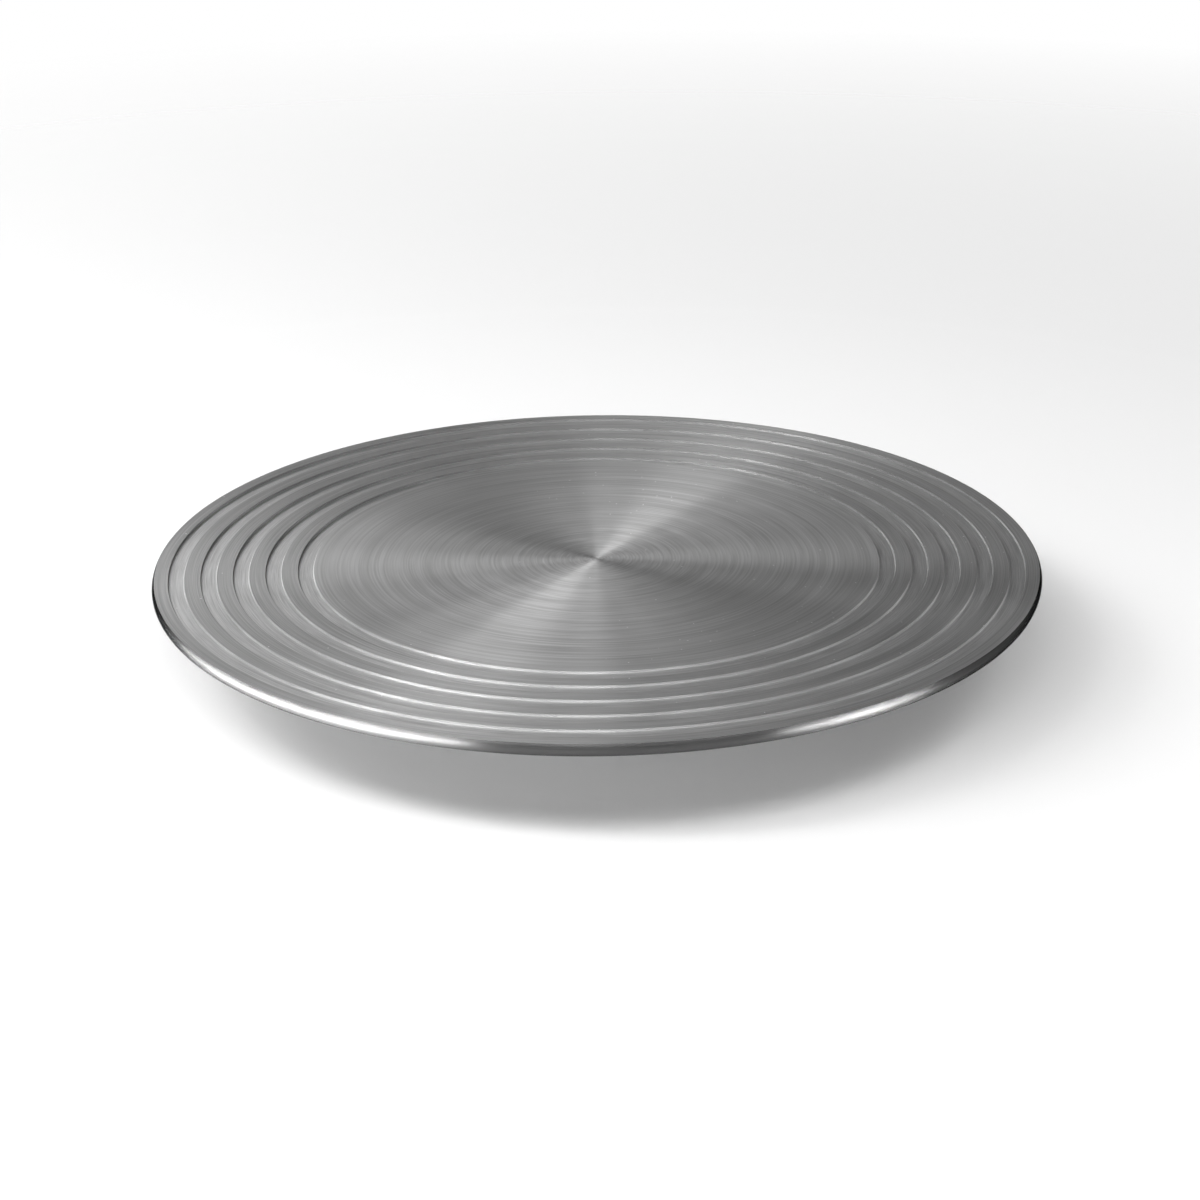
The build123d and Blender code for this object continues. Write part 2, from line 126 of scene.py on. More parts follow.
def pieceFrom(body, name, materials, rides, replaced):
    bmesh.ops.recalc_face_normals(body, faces=body.faces)
    mesh = bpy.data.meshes.new(name)
    body.to_mesh(mesh)
    body.free()
    mesh.shade_smooth()
    mesh.set_sharp_from_angle(angle=radians(sharpAngle))
    for material in materials:
        mesh.materials.append(material)
    piece = bpy.data.objects.new(name, mesh)
    scene.collection.objects.link(piece)
    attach(piece, rides)
    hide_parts(replaced)
    return piece


def newGroup(name, inputs, outputs, normals=()):
    group = bpy.data.node_groups.new(name, "ShaderNodeTree")
    for label, value in inputs.items():
        socket = group.interface.new_socket(name=label, in_out="INPUT", socket_type="NodeSocketFloat")
        socket.default_value = value
    for label in outputs:
        group.interface.new_socket(name=label, in_out="OUTPUT", socket_type="NodeSocketFloat")
    for label in normals:
        group.interface.new_socket(name=label, in_out="OUTPUT", socket_type="NodeSocketVector")
    return group, addNode(group, "NodeGroupInput"), addNode(group, "NodeGroupOutput")


def addNode(tree, kind, values=None, **settings):
    node = tree.nodes.new(kind)
    for name, value in settings.items():
        setattr(node, name, value)
    for socket, value in (values or {}).items():
        node.inputs[socket].default_value = value
    return node


def feed(tree, socket, value):
    # a socket takes another node's output, a number or a colour
    if isinstance(value, bpy.types.NodeSocket):
        tree.links.new(value, socket)
    else:
        socket.default_value = (*value, 1) if isinstance(value, tuple) else value


def mathNode(tree, operation, *values, clamp=False):
    node = addNode(tree, "ShaderNodeMath", operation=operation, use_clamp=clamp)
    for socket, value in zip(node.inputs, values):
        feed(tree, socket, value)
    return node.outputs[0]


def mixNode(tree, factor, first, second, blend="MIX"):
    node = addNode(tree, "ShaderNodeMix", data_type="RGBA", blend_type=blend)
    feed(tree, node.inputs[0], factor)
    feed(tree, node.inputs[6], first)
    feed(tree, node.inputs[7], second)
    return node.outputs[2]


def rampNode(tree, factor, stops):
    ramp = addNode(tree, "ShaderNodeValToRGB")
    elements = ramp.color_ramp.elements
    while len(elements) < len(stops):
        elements.new(0.5)
    for element, (place, tone) in zip(elements, stops):
        element.position = place
        element.color = (tone, tone, tone, 1) if isinstance(tone, float) else (*tone, 1)
    tree.links.new(factor, ramp.inputs[0])
    return ramp.outputs[0]


def newMaterial(name, values):
    material = bpy.data.materials.new(name)
    material.use_nodes = True
    shader = material.node_tree.nodes["Principled BSDF"]
    for socket, value in values.items():
        feed(material.node_tree, shader.inputs[socket], value)
    return material, material.node_tree, shader


def useGroup(tree, group, values):
    return addNode(tree, "ShaderNodeGroup", values, node_tree=group)


def bumpNode(tree, height, strength, distance, normal=None):
    bump = addNode(tree, "ShaderNodeBump", {"Strength": strength, "Distance": distance})
    tree.links.new(height, bump.inputs["Height"])
    if normal:
        tree.links.new(normal, bump.inputs["Normal"])
    return bump.outputs["Normal"]


def turnedLinesGroup():
    # lathe lines round the spin axis: fine lines, broad rings of tone, and the tool's feed marks
    group, start, end = newGroup(
        "turned lines",
        {"Pitch mm": 0.5, "Arc": 2.0, "Broad mm": 4.0, "Feed mm": 0.3},
        ["Lines", "Broad", "Feed", "Radius"],
    )
    coords = addNode(group, "ShaderNodeTexCoord")
    split = addNode(group, "ShaderNodeSeparateXYZ")
    group.links.new(coords.outputs["Object"], split.inputs[0])
    x, y, z = split.outputs
    squares = mathNode(group, "MULTIPLY_ADD", y, y, mathNode(group, "MULTIPLY", x, x))
    radius = mathNode(group, "SQRT", squares)
    group.links.new(radius, end.inputs["Radius"])
    across = mathNode(group, "MULTIPLY", mathNode(group, "MULTIPLY_ADD", z, 1.7, radius), 1000.0)
    safeRadius = mathNode(group, "MAXIMUM", radius, 0.0005)
    alongX = mathNode(group, "MULTIPLY", mathNode(group, "DIVIDE", x, safeRadius), start.outputs["Arc"])
    alongY = mathNode(group, "MULTIPLY", mathNode(group, "DIVIDE", y, safeRadius), start.outputs["Arc"])
    for label, pitch, detail in (("Lines", "Pitch mm", 4.0), ("Broad", "Broad mm", 3.0)):
        place = addNode(group, "ShaderNodeCombineXYZ")
        group.links.new(alongX, place.inputs[0])
        group.links.new(alongY, place.inputs[1])
        group.links.new(mathNode(group, "DIVIDE", across, start.outputs[pitch]), place.inputs[2])
        noise = addNode(group, "ShaderNodeTexNoise", {"Scale": 1.0, "Detail": detail, "Roughness": 0.6})
        group.links.new(place.outputs[0], noise.inputs["Vector"])
        group.links.new(noise.outputs["Fac"], end.inputs[label])
    turns = mathNode(group, "DIVIDE", across, start.outputs["Feed mm"])
    wave = mathNode(group, "SINE", mathNode(group, "MULTIPLY", turns, 2 * pi))
    group.links.new(mathNode(group, "MULTIPLY_ADD", wave, 0.5, 0.5), end.inputs["Feed"])
    return group


def specksGroup():
    # a few small specks, each cell of a pattern holding one or none
    group, start, end = newGroup("specks", {"Scale": 150.0, "Size": 0.12, "Share": 0.05}, ["Mask"])
    coords = addNode(group, "ShaderNodeTexCoord")
    cells = addNode(group, "ShaderNodeTexVoronoi", feature="F1")
    group.links.new(coords.outputs["Object"], cells.inputs["Vector"])
    group.links.new(start.outputs["Scale"], cells.inputs["Scale"])
    near = mathNode(group, "LESS_THAN", cells.outputs["Distance"], start.outputs["Size"])
    split = addNode(group, "ShaderNodeSeparateColor")
    group.links.new(cells.outputs["Color"], split.inputs[0])
    patches = addNode(group, "ShaderNodeTexNoise", {"Scale": 14.0, "Detail": 2.0})
    group.links.new(coords.outputs["Object"], patches.inputs["Vector"])
    # the power gathers the specks into patches, the factor brings their number back up
    crowd = mathNode(group, "MULTIPLY", mathNode(group, "POWER", patches.outputs["Fac"], 6.0), 50.0)
    share = mathNode(group, "MULTIPLY", crowd, start.outputs["Share"])
    chosen = mathNode(group, "LESS_THAN", split.outputs[0], share)
    group.links.new(mathNode(group, "MULTIPLY", near, chosen), end.inputs["Mask"])
    return group


def grainGroup():
    # fine height for a cast, moulded or pressed surface, and the slow change of its tone
    group, start, end = newGroup("grain", {"Scale": 900.0, "Broad": 60.0}, ["Height", "Tone"])
    coords = addNode(group, "ShaderNodeTexCoord")
    for label, scale, detail in (("Height", "Scale", 3.0), ("Tone", "Broad", 6.0)):
        noise = addNode(group, "ShaderNodeTexNoise", {"Detail": detail, "Roughness": 0.6})
        group.links.new(coords.outputs["Object"], noise.inputs["Vector"])
        group.links.new(start.outputs[scale], noise.inputs["Scale"])
        group.links.new(noise.outputs["Fac"], end.inputs[label])
    return group


def edgeWearGroup():
    # where edges are rubbed, and the surface's normal with those edges softened
    group, start, end = newGroup("edge wear", {"Radius": 0.0003, "Amount": 0.5}, ["Mask"], ["Normal"])
    soft = addNode(group, "ShaderNodeBevel", samples=6)
    group.links.new(start.outputs["Radius"], soft.inputs["Radius"])
    flat = addNode(group, "ShaderNodeNewGeometry")
    dot = addNode(group, "ShaderNodeVectorMath", operation="DOT_PRODUCT")
    group.links.new(soft.outputs[0], dot.inputs[0])
    group.links.new(flat.outputs["Normal"], dot.inputs[1])
    edge = mathNode(group, "MULTIPLY", mathNode(group, "SUBTRACT", 1.0, dot.outputs["Value"]), 6.0)
    patches = addNode(group, "ShaderNodeTexNoise", {"Scale": 400.0, "Detail": 4.0})
    coords = addNode(group, "ShaderNodeTexCoord")
    group.links.new(coords.outputs["Object"], patches.inputs["Vector"])
    broken = mathNode(group, "MULTIPLY", edge, patches.outputs["Fac"], clamp=True)
    group.links.new(mathNode(group, "MULTIPLY", broken, start.outputs["Amount"]), end.inputs["Mask"])
    group.links.new(soft.outputs[0], end.inputs["Normal"])
    return group


def shadeAndDustGroup():
    # dust tone laid in corners and under overhangs by occlusion: on dark finishes it reads as dust, on
    # light ones it is painted shade
    group, start, end = newGroup("crevice shade and dust", {"Reach": 0.004, "Amount": 0.3}, ["Mask"])
    hidden = addNode(group, "ShaderNodeAmbientOcclusion", samples=4, only_local=True)
    group.links.new(start.outputs["Reach"], hidden.inputs["Distance"])
    deep = mathNode(group, "SUBTRACT", 1.0, hidden.outputs["AO"])
    clouds = addNode(group, "ShaderNodeTexNoise", {"Scale": 250.0, "Detail": 5.0})
    coords = addNode(group, "ShaderNodeTexCoord")
    group.links.new(coords.outputs["Object"], clouds.inputs["Vector"])
    loose = mathNode(group, "MULTIPLY", deep, clouds.outputs["Fac"])
    dustAndShade = mathNode(group, "MULTIPLY", loose, start.outputs["Amount"], clamp=True)
    group.links.new(dustAndShade, end.inputs["Mask"])
    return group


turnedLines = turnedLinesGroup()
specks = specksGroup()
grain = grainGroup()
edgeWear = edgeWearGroup()
shadeAndDust = shadeAndDustGroup()

# one look for each finish, except the wheel head's own metal further down
# grain is the scale of the fine texture, depth its height in mm, edge the softened edge in mm,
# spread how far the slow change of tone raises the roughness, pitch that of lathe lines in mm
# dust sets how much dust a finish gets, in specks and in corners, where on light finishes it is painted
# shade
finishLooks = {
    "machined_steel": {
        "dark": (0.42, 0.42, 0.43), "pale": (0.54, 0.54, 0.55), "worn": (0.68, 0.68, 0.69),
        "grain": 2500.0, "broad": 80.0, "depth": 0.004, "edge": 0.12, "wear": 0.6, "dust": 0.1,
        "roughness": 0.27, "spread": 0.16, "pitch": 0.22,
        "shader": {"Metallic": 1.0, "Anisotropic": 0.8, "Anisotropic Rotation": 0.25},
    },
    "ground_steel": {
        "dark": (0.54, 0.54, 0.55), "pale": (0.64, 0.64, 0.65), "worn": (0.75, 0.75, 0.76),
        "grain": 4000.0, "broad": 110.0, "depth": 0.002, "edge": 0.10, "wear": 0.5, "dust": 0.05,
        "roughness": 0.14, "spread": 0.12, "pitch": 0.09,
        "shader": {"Metallic": 1.0, "Anisotropic": 0.6, "Anisotropic Rotation": 0.25},
    },
    "spring_steel": {
        "dark": (0.12, 0.115, 0.115), "pale": (0.20, 0.19, 0.185), "worn": (0.45, 0.45, 0.46),
        "grain": 5000.0, "broad": 160.0, "depth": 0.004, "edge": 0.10, "wear": 0.7, "dust": 0.1,
        "roughness": 0.34, "spread": 0.18,
        "shader": {"Metallic": 1.0},
    },
    "polished_balls": {
        "dark": (0.66, 0.66, 0.67), "pale": (0.73, 0.73, 0.74), "worn": (0.78, 0.78, 0.79),
        "grain": 6000.0, "broad": 300.0, "depth": 0.001, "edge": 0.02, "wear": 0.1, "dust": 0.03,
        "roughness": 0.04, "spread": 0.06,
        "shader": {"Metallic": 1.0},
    },
    "cage_brass": {
        "dark": (0.60, 0.43, 0.17), "pale": (0.76, 0.60, 0.30), "worn": (0.86, 0.72, 0.42),
        "grain": 3000.0, "broad": 120.0, "depth": 0.004, "edge": 0.12, "wear": 0.5, "dust": 0.1,
        "roughness": 0.24, "spread": 0.18,
        "shader": {"Metallic": 1.0},
    },
    "cage_nylon": {
        "dark": (0.74, 0.70, 0.59), "pale": (0.83, 0.79, 0.70), "worn": (0.88, 0.86, 0.80),
        "grain": 3500.0, "broad": 90.0, "depth": 0.005, "edge": 0.15, "wear": 0.3, "dust": 0.1,
        "roughness": 0.42, "spread": 0.12,
        "shader": {"Subsurface Weight": 0.2, "Subsurface Scale": 0.0008},
    },
    "skirt_plastic": {
        "dark": (0.012, 0.012, 0.013), "pale": (0.020, 0.020, 0.0215), "worn": (0.045, 0.045, 0.047),
        "grain": 2600.0, "broad": 45.0, "depth": 0.020, "edge": 0.20, "wear": 0.5, "dust": 0.5,
        "roughness": 0.46, "spread": 0.14,
        "shader": {"Specular IOR Level": 0.12},
    },
    "enamelled_iron": {
        "dark": (0.026, 0.028, 0.030), "pale": (0.040, 0.042, 0.045), "worn": (0.10, 0.10, 0.102),
        "grain": 850.0, "broad": 35.0, "depth": 0.060, "edge": 0.50, "wear": 0.6, "dust": 0.6,
        "roughness": 0.42, "spread": 0.16,
        "shader": {"Specular IOR Level": 0.14},
    },
    "wool_felt": {
        "dark": (0.33, 0.31, 0.285), "pale": (0.50, 0.48, 0.445), "worn": (0.56, 0.54, 0.51),
        "grain": 5200.0, "broad": 700.0, "depth": 0.12, "edge": 0.20, "wear": 0.2, "dust": 0.3,
        "roughness": 0.86, "spread": 0.12,
        "shader": {"Sheen Weight": 0.6, "Sheen Roughness": 0.5},
    },
    "gasket_fibre": {
        "dark": (0.22, 0.145, 0.095), "pale": (0.38, 0.265, 0.175), "worn": (0.45, 0.34, 0.25),
        "grain": 4200.0, "broad": 1200.0, "depth": 0.025, "edge": 0.05, "wear": 0.2, "dust": 0.2,
        "roughness": 0.74, "spread": 0.14,
        "shader": {"Specular IOR Level": 0.3},
    },
    "black_screws": {
        "dark": (0.045, 0.045, 0.050), "pale": (0.085, 0.085, 0.090), "worn": (0.38, 0.38, 0.39),
        "grain": 5000.0, "broad": 200.0, "depth": 0.004, "edge": 0.10, "wear": 0.6, "dust": 0.1,
        "roughness": 0.30, "spread": 0.16,
        "shader": {"Metallic": 1.0},
    },
    "plated_screws": {
        "dark": (0.55, 0.56, 0.57), "pale": (0.68, 0.67, 0.63), "worn": (0.74, 0.74, 0.74),
        "grain": 5000.0, "broad": 260.0, "depth": 0.003, "edge": 0.12, "wear": 0.4, "dust": 0.3,
        "roughness": 0.20, "spread": 0.16,
        "shader": {"Metallic": 1.0},
    },
    "foot_rubber": {
        "dark": (0.024, 0.024, 0.025), "pale": (0.040, 0.040, 0.041), "worn": (0.075, 0.073, 0.070),
        "grain": 3200.0, "broad": 130.0, "depth": 0.030, "edge": 0.30, "wear": 0.8, "dust": 0.7,
        "roughness": 0.70, "spread": 0.16,
        "shader": {"Specular IOR Level": 0.35},
    },
}


dustShadeLook = {
    "reach": 4.0,  # how far into a corner the dust and painted shade reach, in mm
    "speckScale": 420.0,
    "speckSize": 0.08,
    "speckShare": 0.04,
    # the dust colour; in the corners of light finishes it is painted shade
    "tone": (0.20, 0.195, 0.185),
    "roughening": 0.3,
}


def finishMaterial(name, look):
    material, tree, shader = newMaterial(name.replace("_", " "), look["shader"])
    surface = useGroup(tree, grain, {"Scale": look["grain"], "Broad": look["broad"]})
    edges = useGroup(tree, edgeWear, {"Radius": look["edge"] * mm, "Amount": look["wear"]})
    # the occlusion mask paints the dust tone into corners: dust on dark finishes, painted shade on light
    # ones
    corners = useGroup(tree, shadeAndDust, {"Reach": dustShadeLook["reach"] * mm, "Amount": look["dust"]})
    flecks = useGroup(tree, specks, {
        "Scale": dustShadeLook["speckScale"],
        "Size": dustShadeLook["speckSize"],
        "Share": dustShadeLook["speckShare"] * look["dust"],
    })
    tone = rampNode(tree, surface.outputs["Tone"], [(0.3, look["dark"]), (0.7, look["pale"])])
    tone = mixNode(tree, edges.outputs["Mask"], tone, look["worn"])
    # dust specks together with the painted corner shade
    dustAndShade = mathNode(tree, "MAXIMUM", corners.outputs["Mask"], flecks.outputs["Mask"])
    tone = mixNode(tree, dustAndShade, tone, dustShadeLook["tone"])
    tree.links.new(tone, shader.inputs["Base Color"])
    rough = mathNode(tree, "MULTIPLY_ADD", surface.outputs["Tone"], look["spread"], look["roughness"])
    rough = mathNode(tree, "MULTIPLY_ADD", dustAndShade, dustShadeLook["roughening"], rough, clamp=True)
    tree.links.new(rough, shader.inputs["Roughness"])
    height = surface.outputs["Height"]
    if "pitch" in look:
        lines = useGroup(tree, turnedLines, {"Pitch mm": look["pitch"], "Arc": 2.0})
        height = mathNode(tree, "MULTIPLY_ADD", lines.outputs["Lines"], 2.0, height)
        tangent = addNode(tree, "ShaderNodeTangent", direction_type="RADIAL", axis="Z")
        tree.links.new(tangent.outputs[0], shader.inputs["Tangent"])
    normal = bumpNode(tree, height, 0.8, look["depth"] * mm, edges.outputs["Normal"])
    tree.links.new(normal, shader.inputs["Normal"])
    return material


finishes = {name: finishMaterial(name, look) for name, look in finishLooks.items()}
print("finishes made")

wheelHead = {
    "fieldRadius": 95.7,
    "grooves": 5,
    "grooveDepth": 0.6,
    "wallLean": 0.25,
    "thickness": 4.0,
    "edgeBulge": 0.8,
    "landRounding": 0.07,
    "floorRounding": 0.12,
    "bossRadius": 45.0,
    "bossChamfer": 0.8,
    "spigotRecess": 15.05,
    "spigotDepth": 2.05,
    "bossFillet": 0.5,
    "rimRounding": 0.15,
    "smallRounding": 0.1,
    "rimSteps": 14,
}

# coarser is how much the roughness grows for each metre from the axis, arc how often lines break,
# edgeTint how much is still reflected at a grazing angle, sparkle the tones of the fine lines
turnedMetal = {
    "field": {
        "grey": 0.54, "roughness": 0.49, "coarser": -0.9, "anisotropy": 0.975, "edgeTint": 1.0,
        "pitch": 0.75, "arc": 1.2, "lineDepth": 0.25, "sparkle": (0.80, 1.16), "specks": 0.045,
    },
    "land": {
        "grey": 0.46, "roughness": 0.44, "coarser": 0.0, "anisotropy": 0.95, "edgeTint": 1.0,
        "pitch": 0.35, "arc": 2.0, "lineDepth": 0.25, "sparkle": (0.72, 1.22), "specks": 0.035,
    },
    "floor": {
        "grey": 0.63, "roughness": 0.44, "coarser": 0.0, "anisotropy": 0.80, "edgeTint": 1.0,
        "pitch": 0.30, "arc": 6.0, "lineDepth": 0.25, "sparkle": (0.76, 1.20), "specks": 0.035,
    },
    "wallOutPaintedLight": {  # faces away from the axis; its pale grey is painted light, as if caught by the side lamps
        "grey": 0.66, "roughness": 0.36, "coarser": 0.0, "anisotropy": 0.90, "edgeTint": 0.6,
        "pitch": 0.15, "arc": 2.0, "lineDepth": 0.01, "sparkle": (0.95, 1.05), "specks": 0,
    },
    # faces the axis; its dark grey is painted shade
    "wallInPaintedShade": {
        "grey": 0.28, "roughness": 0.38, "coarser": 0.0, "anisotropy": 0.90, "edgeTint": 0.6,
        "pitch": 0.15, "arc": 2.0, "lineDepth": 0.01, "sparkle": (0.95, 1.05), "specks": 0,
    },
    # painted shade: the rim's very dark grey and low edge tint darken its reflections, standing in for dark
    # surroundings
    "rim": {
        "grey": 0.11, "roughness": 0.36, "coarser": 0.0, "anisotropy": 0.95, "edgeTint": 0.10,
        "pitch": 0.25, "arc": 3.0, "lineDepth": 0.10, "sparkle": (0.80, 1.16), "specks": 0,
    },
    "under": {
        "grey": 0.50, "roughness": 0.42, "coarser": 0.0, "anisotropy": 0.80, "edgeTint": 1.0,
        "pitch": 0.70, "arc": 2.0, "lineDepth": 0.40, "sparkle": (0.80, 1.16), "specks": 0.02,
    },
}


# what all the turned finishes share, lengths in mm
turning = {
    "broad": 5.0,
    "feed": 0.31,
    "broadTones": (0.93, 1.06),
    "speckScale": 420.0,
    "speckSize": 0.12,
    "speckTone": (0.85, 0.85, 0.85),
    "roughSpread": 0.12,  # how far the fine lines change the roughness
    "feedDepth": 0.15,  # of the tool's feed marks, against the fine lines
    "lineHeight": 0.04,
}


def turnedMaterial(name, look):
    material, tree, shader = newMaterial("turned aluminium " + name, {
        "Metallic": 1.0,
        "Anisotropic": look["anisotropy"],
        "Anisotropic Rotation": 0.25,
        "Specular Tint": (look["edgeTint"],) * 3,
    })
    lines = useGroup(tree, turnedLines, {
        "Pitch mm": look["pitch"],
        "Arc": look["arc"],
        "Broad mm": turning["broad"],
        "Feed mm": turning["feed"],
    })
    flecks = useGroup(tree, specks, {
        "Scale": turning["speckScale"],
        "Size": turning["speckSize"],
        "Share": look["specks"],
    })
    ends = (0.3, 0.7)  # the part of the noise's range that most of it keeps to
    broadTones = [look["grey"] * tone for tone in turning["broadTones"]]
    shade = rampNode(tree, lines.outputs["Broad"], list(zip(ends, broadTones)))
    fine = rampNode(tree, lines.outputs["Lines"], list(zip(ends, look["sparkle"])))
    tone = mixNode(tree, 1.0, shade, fine, "MULTIPLY")
    tone = mixNode(tree, flecks.outputs["Mask"], tone, turning["speckTone"])
    tree.links.new(tone, shader.inputs["Base Color"])
    spread = turning["roughSpread"]
    least = look["roughness"] - spread / 2
    base = mathNode(tree, "MULTIPLY_ADD", lines.outputs["Radius"], look["coarser"], least)
    rough = mathNode(tree, "MULTIPLY_ADD", lines.outputs["Lines"], spread, base)
    tree.links.new(rough, shader.inputs["Roughness"])
    feedMarks = lines.outputs["Feed"]
    height = mathNode(tree, "MULTIPLY_ADD", feedMarks, turning["feedDepth"], lines.outputs["Lines"])
    normal = bumpNode(tree, height, look["lineDepth"], turning["lineHeight"] * mm)
    tree.links.new(normal, shader.inputs["Normal"])
    tangent = addNode(tree, "ShaderNodeTangent", direction_type="RADIAL", axis="Z")
    tree.links.new(tangent.outputs[0], shader.inputs["Tangent"])
    return material


def wheelHeadPiece():
    low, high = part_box("wheel_head")
    top = high.z / mm
    radius = high.x / mm
    bossUnder = low.z / mm
    look = wheelHead
    under = top - look["thickness"]
    edge = radius - look["edgeBulge"]
    floor = top - look["grooveDepth"]
    band = (radius - look["fieldRadius"]) / (2 * look["grooves"])
    recessTop = bossUnder + look["spigotDepth"]
    corners = [(0, top, 0, "field")]
    for k in range(look["grooves"]):
        inner = look["fieldRadius"] + 2 * k * band
        outer = inner + band
        corners += [
            (inner, top, look["landRounding"], "wallOutPaintedLight"),
            (inner + look["wallLean"], floor, look["floorRounding"], "floor"),
            (outer - look["wallLean"], floor, look["floorRounding"], "wallInPaintedShade"),
            (outer, top, look["landRounding"], "land"),
        ]
    bulge = look["edgeBulge"]
    half = look["thickness"] / 2
    arcRadius = (half * half + bulge * bulge) / (2 * bulge)
    arcCentre = radius - arcRadius
    sweep = hypot(half, edge - arcCentre)
    rim = []
    for k in range(look["rimSteps"] + 1):
        height = half - 2 * half * k / look["rimSteps"]
        reach = arcCentre + sqrt(sweep * sweep - height * height)
        rim.append((reach, under + half + height, 0, "rim"))
    rim[0] = (*rim[0][:2], look["rimRounding"], "rim")
    rim[-1] = (*rim[-1][:2], look["rimRounding"], "under")
    small = look["smallRounding"]
    corners += rim
    corners += [
        (look["bossRadius"], under, look["bossFillet"], "under"),
        (look["bossRadius"], bossUnder + look["bossChamfer"], small, "under"),
        (look["bossRadius"] - look["bossChamfer"], bossUnder, small, "under"),
        (look["spigotRecess"], bossUnder, small, "under"),
        (look["spigotRecess"], recessTop, small, "under"),
        (0, recessTop, 0, "under"),
    ]
    body = bmesh.new()
    latheInto(body, roundedPath(corners, closed=False), list(turnedMetal), closed=False)
    materials = [turnedMaterial(name, turnedMetal[name]) for name in turnedMetal]
    pieceFrom(body, "wheelHeadTurned", materials, "wheel", "wheel_head")


wheelHeadPiece()
print("wheel head made")

dustSkirt = {
    "innerRadius": 45.0,
    "segments": 288,
    "thickness": 1.95,
    "beadRadius": 0.8,
    "beadHeight": 1.0,  # of the bead's middle above the lower edge
    "beadSteps": 12,
    "topRounding": 0.5,
    "edgeRounding": 0.15,
    "beadBlend": 0.3,
    "beadFoot": 0.08,
}


def dustSkirtPiece():
    low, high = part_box("dust_skirt")
    look = dustSkirt
    bottom = low.z / mm
    top = high.z / mm
    outer = look["innerRadius"] + look["thickness"]
    bead = look["beadRadius"]
    middle = bottom + look["beadHeight"]
    corners = [
        (look["innerRadius"], bottom, look["edgeRounding"], "skirt"),
        (look["innerRadius"], top, look["edgeRounding"], "skirt"),
        (outer, top, look["topRounding"], "skirt"),
        (outer, middle + bead, look["beadBlend"], "skirt"),
    ]
    for k in range(1, look["beadSteps"] + 1):
        angle = pi / 2 - pi * k / look["beadSteps"]
        corners.append((outer + bead * cos(angle), middle + bead * sin(angle), 0, "skirt"))
    corners.append((outer, bottom, look["beadFoot"], "skirt"))
    body = bmesh.new()
    latheInto(body, roundedPath(corners, guard=0.02), ["skirt"], segments=look["segments"])
    pieceFrom(body, "dustSkirtMoulded", [finishes["skirt_plastic"]], "wheel", "dust_skirt")


dustSkirtPiece()
print("dust skirt made")

# lengths from the spin axis and heights above the table, for what lies inside the base's own box
baseCasting = {
    "rimHeight": 5.5,
    "rimRounding": 2.0,
    "collarRadius": 44.0,
    "collarTop": 18.5,
    "domeTop": 13.5,
    "domeRise": 1.0,  # how far the dome's curve stands above a straight slope
    "domeSteps": 16,
    "coverSeat": 30.05,
    "coverRecess": 4.5,
    "undercutRadius": 22.0,
    "undercutTop": 8.0,
    "shoulderRadius": 16.5,
    "bearingSeat": 9.0,
    "bearingBore": 18.5,
    "circlipRadius": 19.5,
    "circlipLow": 18.0,
    "circlipHigh": 19.55,
    "hubRadius": 26.0,
    "raceSeat": 14.0,
    "raceWall": 39.05,
    "feltInner": 40.45,
    "feltOuter": 42.95,
    "feltFloor": 16.5,
    "fine": 0.1,  # rounding of the machined corners
    "flatInner": 30.9,  # inner and outer edges of the flat underside
    "flatInset": 2.5,
    "ribs": 6,
    "ribHalf": 2.0,
    "pocketInner": 35.0,
    "pocketOuter": 56.0,
    "pocketTop": 8.5,
    "pocketCorner": 2.5,
    "mouthRounding": 0.6,
    "ceilingRounding": 1.5,
    "ceilingSteps": 5,
    "ceilingMargin": 0.3,
    "draft": 0.2,
    "arcSteps": 14,
    "cornerSteps": 7,
    "seatPitch": 68.0,
    "seatRadius": 8.05,
    "seatTop": 4.0,
    "seatRounding": 0.3,
    "seatSegments": 96,
}


def castingProfile(look, radius, bottom, top):
    # from the flat underside's inner edge, up through the bore and over the dome to its outer edge
    fine = look["fine"]
    inside = [
        (look["flatInner"], bottom, 0),
        (look["coverSeat"], bottom, 0.3),
        (look["coverSeat"], look["coverRecess"], fine),
        (look["undercutRadius"], look["coverRecess"], fine),
        (look["undercutRadius"], look["undercutTop"], fine),
        (look["shoulderRadius"], look["undercutTop"], fine),
        (look["shoulderRadius"], look["bearingSeat"], fine),
        (look["bearingBore"], look["bearingSeat"], fine),
        (look["bearingBore"], look["circlipLow"], fine),
        (look["circlipRadius"], look["circlipLow"], fine),
        (look["circlipRadius"], look["circlipHigh"], fine),
        (look["bearingBore"], look["circlipHigh"], fine),
        (look["bearingBore"], top, 0.3),
        (look["hubRadius"], top, 0.4),
        (look["hubRadius"], look["raceSeat"], 0.2),
        (look["raceWall"], look["raceSeat"], fine),
        (look["raceWall"], look["collarTop"], 0.3),
        (look["feltInner"], look["collarTop"], 0.2),
        (look["feltInner"], look["feltFloor"], fine),
        (look["feltOuter"], look["feltFloor"], fine),
        (look["feltOuter"], look["collarTop"], 0.2),
        (look["collarRadius"], look["collarTop"], 0.4),
        (look["collarRadius"], look["domeTop"], 0.9),
    ]
    rimTop = bottom + look["rimHeight"]
    dome = []
    for k in range(1, look["domeSteps"] + 1):
        t = k / look["domeSteps"]
        r = look["collarRadius"] + t * (radius - look["collarRadius"])
        z = look["domeTop"] + t * (rimTop - look["domeTop"]) + 4 * look["domeRise"] * t * (1 - t)
        dome.append((r, z, look["rimRounding"] if k == look["domeSteps"] else 0))
    outside = [
        (radius, bottom, look["rimRounding"]),
        (radius - look["flatInset"], bottom, 0),
    ]
    return [(*corner, "enamel") for corner in inside + dome + outside]


